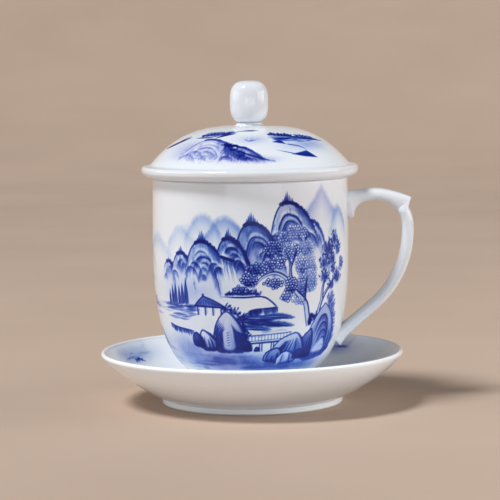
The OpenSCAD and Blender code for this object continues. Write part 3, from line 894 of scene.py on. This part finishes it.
def lid_back(sheet):
    """Two quieter groups behind, and the water between them."""
    peak(sheet, (92, 15), (10, 16, 10, 10), 2.5, tone=0.36, folds=3, tall=1.4, ink=0.62)
    peak(sheet, (104, 11.5), (5, 12, 6, 7), 2.5, tone=0.5, folds=2, tall=1.2, ink=0.75)
    rock(sheet, (-92, 3), (-85, 13), (-77, 3), bulge=0.1, ribs=4, ink=0.75)
    branch(sheet, [(-82, 6), (-78, 13), (-72, 17)], 1.4, 0.7)
    leaves(sheet, (-74, 19.5), (5, 2.6), 0.6)
    leaves(sheet, (-80, 16.5), (4, 2.2), 0.7)
    for left, right in ((-110, -62), (60, 112)):
        streaks(sheet, left, right, 3, 8, 0.32, 20, 10)


def lid_sheet():
    """The dome's scenery, which fades out just above the flange."""
    sheet = Sheet(-121, 121, -4, 44, seed=11)
    lid_hill(sheet)
    lid_far_bank(sheet)
    lid_right_shore(sheet)
    lid_back(sheet)
    bare_foot, mist = 1.2, 3.0
    sheet.tone *= np.clip((sheet.y[:, None] - bare_foot) / mist, 0, 1)
    return sheet


def saucer_sheet():
    """Two small shores with a far wash above each."""
    sheet = Sheet(-174, 174, -2, 60, seed=5, cell=0.4)
    for x in (-111, 139):
        sheet.cloud((x, 9), (13, 5), 0.22)
        sheet.hill((x - 2, 13), 9, 5, 0.22)
        streaks(sheet, x - 9, x + 9, 7.5, 10.5, 0.5, 10, 9)
        needles(sheet, (x, 12.0), (3.2, 1.1), 0.75, 22)
    return sheet


# ---------------- materials

WHITE = (0.765, 0.79, 0.83)
BODY_TINT = (0.72, 0.75, 0.795)
SAUCER_WHITE = (0.91, 0.945, 0.975)
# Colours by how thick the cobalt lies, each after the bare porcelain's at 0
COBALT = [(0.11, (0.54, 0.63, 0.79)), (0.29, (0.21, 0.33, 0.67)), (0.50, (0.030, 0.090, 0.42)),
          (0.72, (0.002, 0.018, 0.25)), (0.95, (0.0005, 0.004, 0.13))]
VIOLET = [(0.11, (0.60, 0.61, 0.77)), (0.29, (0.31, 0.33, 0.63)), (0.50, (0.072, 0.098, 0.40)),
          (0.72, (0.009, 0.020, 0.22)), (0.95, (0.001, 0.004, 0.12))]
BISCUIT = [(0.0, (0.50, 0.44, 0.36)), (0.42, (0.74, 0.70, 0.64)), (1.0, (0.80, 0.78, 0.74))]
PAPER, PAPER_LIGHT = (0.490, 0.365, 0.282), (0.525, 0.394, 0.307)


def node_tree(name):
    """A new material, its node tree, and the Principled shader in it."""
    material = bpy.data.materials.new(name)
    material.use_nodes = True
    tree = material.node_tree
    return material, tree, tree.nodes["Principled BSDF"]


def feed(tree, node, **inputs):
    """Sets a node's inputs to numbers, or links the ones given as sockets; _ stands for a space."""
    for name, value in inputs.items():
        socket = node.inputs[name.replace("_", " ")]
        if isinstance(value, bpy.types.NodeSocket):
            tree.links.new(value, socket)
        else:
            socket.default_value = value


def noise(tree, scale, detail=3.0, roughness=0.5):
    """A noise texture over the object's own coordinates, in metres."""
    where = tree.nodes.new("ShaderNodeTexCoord").outputs["Object"]
    texture = tree.nodes.new("ShaderNodeTexNoise")
    feed(tree, texture, Vector=where, Scale=scale, Detail=detail, Roughness=roughness)
    return texture.outputs["Fac"]


def spread(tree, value, low, high, from_low=0.3, from_high=0.7):
    """A value mapped from one range to another."""
    node = tree.nodes.new("ShaderNodeMapRange")
    feed(tree, node, Value=value, From_Min=from_low, From_Max=from_high, To_Min=low, To_Max=high)
    return node.outputs["Result"]


def bump(tree, shader, height, strength, distance):
    """Makes a height field the shader's bump."""
    node = tree.nodes.new("ShaderNodeBump")
    feed(tree, node, Height=height, Strength=strength, Distance=distance)
    feed(tree, shader, Normal=node.outputs["Normal"])


def ramp(tree, value, stops):
    """A colour ramp through (position, colour) stops."""
    node = tree.nodes.new("ShaderNodeValToRGB")
    elements = node.color_ramp.elements
    while len(elements) > 1:
        elements.remove(elements[-1])
    for i, (at, colour) in enumerate(stops):
        element = elements[0] if i == 0 else elements.new(at)
        element.position = at
        element.color = (*colour, 1)
    feed(tree, node, Fac=value)
    return node.outputs["Color"]


def mixed(tree, fac, a, b):
    """Colour a turning into colour b; each is a socket or three numbers."""
    node = tree.nodes.new("ShaderNodeMix")
    node.data_type = "RGBA"
    tree.links.new(fac, node.inputs["Factor"])
    for socket, colour in ((node.inputs[6], a), (node.inputs[7], b)):
        if isinstance(colour, tuple):
            socket.default_value = (*colour, 1)
        else:
            tree.links.new(colour, socket)
    return node.outputs[2]


def field(tree, name):
    """A mesh's own float field."""
    node = tree.nodes.new("ShaderNodeAttribute")
    node.attribute_name = name
    return node.outputs["Fac"]


def glaze(tree, shader, colour):
    """A clear, faintly rippled glaze over the given colour."""
    gloss = spread(tree, noise(tree, 90, 4), 0.07, 0.13)
    feed(tree, shader, Base_Color=colour, Roughness=gloss, IOR=1.48, Specular_IOR_Level=0.36)
    bump(tree, shader, noise(tree, 260, 2), 0.10, 0.2 * MM)


def glazed_white(name):
    """White porcelain whose body shows a little bluer and denser in slow clouds."""
    material, tree, shader = node_tree(name)
    glaze(tree, shader, mixed(tree, spread(tree, noise(tree, 22), 0, 1), WHITE, BODY_TINT))
    return material


def painted(name, white):
    """White porcelain with cobalt under the glaze, as thick as the mesh's `cobalt` field says."""
    material, tree, shader = node_tree(name)
    cobalt = field(tree, "cobalt")
    blue, violet = (ramp(tree, cobalt, [(0.0, white)] + tones) for tones in (COBALT, VIOLET))
    glaze(tree, shader, mixed(tree, field(tree, "violet"), blue, violet))
    return material


def foot_material(name, white):
    """Glazed sides and a bare, finely sanded biscuit edge, by the mesh's `bare` field."""
    material, tree, shader = node_tree(name)
    bare = field(tree, "bare")
    grit = noise(tree, 1400, 5, 0.7)
    colour = mixed(tree, bare, white, ramp(tree, grit, BISCUIT))
    feed(tree, shader, Base_Color=colour, Roughness=spread(tree, bare, 0.1, 0.78, 0, 1))
    bump(tree, shader, grit, 0.25, 0.1 * MM)
    return material


def floor_material(name):
    """Plain matt paper, very faintly mottled."""
    material, tree, shader = node_tree(name)
    tone = mixed(tree, spread(tree, noise(tree, 6), 0, 1), PAPER, PAPER_LIGHT)
    feed(tree, shader, Base_Color=tone, Roughness=0.9)
    return material


# ---------------- camera, light and floor

def add_to_scene(name, data, place, turn):
    """An object at a place, turned by a matrix or a quaternion."""
    thing = bpy.data.objects.new(name, data)
    thing.location = place
    thing.rotation_euler = turn.to_euler()
    bpy.context.scene.collection.objects.link(thing)
    return thing


def add_camera():
    """A long lens a little above the cup, rolled as the photo is."""
    looks_down, roll = 5.26, -0.7
    lens = bpy.data.cameras.new("camera")
    lens.sensor_width = 36
    lens.lens = 160.5
    lens.clip_start, lens.clip_end = 0.05, 20
    turn = (Matrix.Rotation(math.radians(90 - looks_down), 3, "X")
            @ Matrix.Rotation(math.radians(roll), 3, "Z"))
    bpy.context.scene.camera = add_to_scene("camera", lens, (-0.35 * MM, -0.975, 156.9 * MM), turn)


def softbox(name, place, aim, size, power, colour):
    """A large rectangular light that the camera doesn't see."""
    data = bpy.data.lights.new(name, "AREA")
    data.shape = "RECTANGLE"
    data.size, data.size_y = size
    data.energy = power
    data.color = colour
    turn = (Vector(aim) - Vector(place)).to_track_quat("-Z", "Y")
    add_to_scene(name, data, place, turn).visible_camera = False


def add_lights():
    """Softboxes at both sides and in front, a soft key light from the left, and a dim sky."""
    middle = (0, 0, 0.06)
    cool, blue = (0.96, 0.985, 1.0), (0.67, 0.85, 1.0)
    softbox("left_box", (-0.85, 0.0, 0.30), middle, (0.8, 0.36), 2.2, cool)
    softbox("right_box", (0.85, -0.15, 0.28), middle, (0.8, 0.32), 4.2, cool)
    softbox("front_box", (0.1, -1.5, 0.13), (0, 0, 0.03), (1.9, 0.22), 5.4, blue)

    from_left = Vector((-0.46, -0.30, 0.88))
    key = bpy.data.lights.new("key", "SUN")
    key.energy = 2.7
    key.angle = math.radians(17)
    key.color = cool
    add_to_scene("key", key, (0, 0, 0), (-from_left).to_track_quat("-Z", "Y"))

    world = bpy.data.worlds.new("studio")
    world.use_nodes = True
    sky = world.node_tree.nodes["Background"]
    sky.inputs["Color"].default_value = (0.78, 0.83, 0.90, 1)
    sky.inputs["Strength"].default_value = 0.11
    bpy.context.scene.world = world
    bpy.context.scene.view_settings.view_transform = "Standard"


def add_floor():
    """A round sheet of paper that curves up into its own backdrop on every side."""
    flat_r, bend_r, steepest = 1.5, 2.0, 80
    curve = [(flat_r + bend_r * math.sin(t), bend_r * (1 - math.cos(t)))
             for t in np.radians(np.linspace(0, steepest, 24))]
    verts, faces, _, _ = revolve([(0.0, 0.0), (0.7 * flat_r, 0.0)] + curve, full_turn(96))
    floor = smooth_mesh("floor", verts, faces)
    floor.data.materials.append(floor_material("paper"))


# ---------------- the painted walls

# How many millimetres of each sheet go to one radian: about the wall's own radius
CUP_PER_RADIAN, LID_PER_RADIAN, SAUCER_PER_RADIAN = 43, 38, 55


def azimuth_steps(front, front_step, back_step, radius):
    """Azimuths all round, front_step apart within +-front of -Y and back_step elsewhere."""
    front_n = int(2 * front * radius / front_step)
    back_n = int((2 * math.pi - 2 * front) * radius / back_step)
    return np.concatenate([np.linspace(-front, front, front_n, endpoint=False),
                           np.linspace(front, 2 * math.pi - front, back_n, endpoint=False)])


def along_outline(rings):
    """How far each ring is along the outline from the widest one; above 0 on the upper side."""
    along = np.concatenate([[0], np.cumsum(np.hypot(*np.diff(rings, axis=0).T))])
    along -= along[rings[:, 0].argmax()]
    return along if rings[-1][1] > rings[0][1] else -along


def cobalt_fields(sheet, per_radian, azimuth_of, y, painted_side):
    """How thick the cobalt lies at each vertex, and how far its blue leans to violet."""
    x = per_radian * ((azimuth_of + math.pi) % math.tau - math.pi)
    violet = Sheet(sheet.x[0], sheet.x[-1], sheet.y[0], sheet.y[-1], seed=1, cell=2)
    violet.tone = np.clip(1.6 * violet.clouds(24) - 0.4, 0, 1)
    for centre, size in sheet.violets:
        violet.cloud(centre, size, 0.8)
    return {"cobalt": np.where(painted_side, sheet.sample(x, y), 0), "violet": violet.sample(x, y)}


def cup_body(material):
    """The cup's wall and floor, finely divided where it is painted."""
    (_, _, low), (radius, _, high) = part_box("cup_body")
    fine, coarse = 0.30 * MM, 1.6 * MM
    foot_r, lower_wall, wall_band = 24 * MM, 40 * MM, 1.5 * MM
    bare_foot, bare_lip = 4 * MM, 3 * MM

    def step(points):
        r, z = points.T
        outside = (r > radius - wall_band) | ((z < low + lower_wall) & (r > foot_r))
        inside = np.arange(len(r)) > np.argmax(z)
        painted_here = outside & ~inside & (z > low + bare_foot) & (z < high - bare_lip)
        return np.where(painted_here, fine, coarse)

    rings = capped(paced(faired(outline("cup_body")), step))
    azimuths = azimuth_steps(math.radians(80), front_step=0.28 * MM, back_step=0.45 * MM, radius=radius)
    verts, faces, ring_of, azimuth_of = revolve(rings, azimuths)
    outside = ring_of <= rings[:, 1].argmax()
    fields = cobalt_fields(cup_sheet(), CUP_PER_RADIAN, azimuth_of, verts[:, 2] / MM, outside)
    add_piece("cup_wall", verts, faces, "cup", "painted_porcelain", "cup_body", material, **fields)


def painted_dish(name, node, body, sheet, per_radian, start, step, around, material):
    """A wide round shell painted on its upper side; the sheet's y is 0 where the radius is start."""
    rings = capped(paced(faired(outline(node)), even(step)))
    verts, faces, ring_of, azimuth_of = revolve(rings, full_turn(around))
    along = along_outline(rings)
    upper = along > 0
    order = np.argsort(along[upper])
    zero = np.interp(-start, -rings[upper][order][:, 0], along[upper][order])
    y = (along[ring_of] - zero) / MM
    fields = cobalt_fields(sheet, per_radian, azimuth_of, y, upper[ring_of])
    add_piece(name, verts, faces, body, "painted_porcelain", node, material, **fields)


# ---------------- the plain turned pieces

def round_piece(name, node, body, slot, material, closed_ends=False, bare_below=None):
    """A small turned piece; the part of it below bare_below is unglazed."""
    rings = paced(faired(outline(node)), even(0.4 * MM))
    if closed_ends:
        rings = capped(rings)
    verts, faces, _, _ = revolve(rings, np.radians(np.arange(0, 360, 1.0)))
    fields = {}
    if bare_below is not None:
        wobble, waves, soft = 0.12 * MM, 7, 0.15 * MM
        edge = bare_below + wobble * np.sin(waves * np.arctan2(verts[:, 1], verts[:, 0]))
        fields["bare"] = np.clip((edge - verts[:, 2]) / soft + 0.5, 0, 1)
    add_piece(name, verts, faces, body, slot, node, material, **fields)


def foot_ring(name, node, body, white, bare):
    """A foot ring whose lowest part, bare high, is unglazed."""
    round_piece(name, node, body, "biscuit", foot_material(node, white),
                bare_below=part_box(node)[0][2] + bare)


# ---------------- the strap handle

def thumb_spur(a):
    """How far the thumb rest stands out of the bend at angle a, in degrees."""
    peak_at, run, fall, height = 51.5, 46, 10, 3.4 * MM
    if a <= peak_at:
        return height * max(0, 1 - (peak_at - a) / run) ** 2.4
    return height * max(0, 1 - (a - peak_at) / fall) ** 1.6


def strap_stations(half_t):
    """Places down the strap: centre, heading, and how far it swells outwards, inwards and sideways.

    Two arcs go over the top, one goes down the back, and a straight tail runs to the cup.
    """
    cup_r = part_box("cup_body")[1][0]
    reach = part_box("cup_handle")[1][0]
    foot_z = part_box("cup_foot_ring")[0][2]
    arch_r, bend_r, back_r, tail = 45 * MM, 14 * MM, 43.2 * MM, 23 * MM
    back_end = math.radians(139.4)
    bend_height, back_drop = 71.3 * MM, 1.6 * MM
    # How far the strap swells outwards, inwards and sideways at its roots, and over what length
    top_root, top_fade = np.array([0.8, 6.4, 1.8]) * MM, 2.6 * MM
    low_root, low_fade = np.array([1.6, 3.4, 1.4]) * MM, 3.2 * MM
    bend = np.array([reach - half_t - bend_r, foot_z + bend_height])
    arch = bend + [0, bend_r - arch_r]
    back = bend + [bend_r - back_r, -back_drop]

    def on(centre, r, a):
        return centre + r * np.array([math.sin(a), math.cos(a)])

    stations = []
    for a in np.radians(np.linspace(-19, 0, 24, endpoint=False)):
        p = on(arch, arch_r, a)
        stations.append((p, a, *(top_root * math.exp(-max(0, p[0] - cup_r) / top_fade))))
    for a in np.concatenate([np.arange(0, 40, 2.5), np.arange(40, 64, 0.75), np.arange(64, 91, 2.6)]):
        out = thumb_spur(a)
        stations.append((on(bend, bend_r, math.radians(a)), math.radians(a), out, 0, -0.35 * out))
    for a in np.linspace(math.pi / 2, back_end, 30):
        stations.append((on(back, back_r, a), a, 0, 0, 0))
    down = np.array([math.cos(back_end), -math.sin(back_end)])
    for t in np.linspace(0, 1, 26)[1:]:
        p = on(back, back_r, back_end) + tail * t * down
        stations.append((p, back_end, *(low_root * math.exp(-(1 - t) * tail / low_fade))))
    return stations


def handle(material):
    """The strap handle: a rounded rectangle swept along its stations."""
    half_t, half_w, sides, squareness = 2.65 * MM, 5.25 * MM, 48, 0.8
    stations = strap_stations(half_t)
    verts, faces = [], []
    for p, a, out, inward, wide in stations:
        for j in range(sides):
            u, v = math.cos(2 * math.pi * j / sides), math.sin(2 * math.pi * j / sides)
            n = math.copysign(abs(u) ** squareness, u) * (half_t + (out if u > 0 else inward))
            w = math.copysign(abs(v) ** squareness, v) * (half_w + wide)
            verts.append((p[0] + n * math.sin(a), w, p[1] + n * math.cos(a)))
    for i in range(len(stations) - 1):
        for j in range(sides):
            m = (j + 1) % sides
            faces.append((i * sides + j, i * sides + m, (i + 1) * sides + m, (i + 1) * sides + j))
    faces.append(tuple(range(sides))[::-1])
    faces.append(tuple((len(stations) - 1) * sides + j for j in range(sides)))
    add_piece("strap_handle", verts, faces, "cup", "porcelain", "cup_handle", material)


# ---------------- the scene

add_camera()
add_lights()
add_floor()

white_glaze = glazed_white("white_glaze")
cobalt_glaze = painted("painted_glaze", WHITE)
cup_body(cobalt_glaze)
painted_dish("lid_shell", "lid_dome", "lid", lid_sheet(), LID_PER_RADIAN, start=43 * MM,
             step=0.36 * MM, around=900, material=cobalt_glaze)
painted_dish("saucer_bowl", "saucer_dish", "saucer", saucer_sheet(), SAUCER_PER_RADIAN, start=66 * MM,
             step=0.6 * MM, around=720, material=painted("saucer_glaze", SAUCER_WHITE))
handle(white_glaze)
round_piece("knob", "lid_knob", "lid", "porcelain", white_glaze, closed_ends=True)
round_piece("collar", "lid_collar", "lid", "porcelain", white_glaze)
foot_ring("saucer_foot", "saucer_foot_ring", "saucer", SAUCER_WHITE, 0.7 * MM)
foot_ring("cup_foot", "cup_foot_ring", "cup", WHITE, 0.6 * MM)
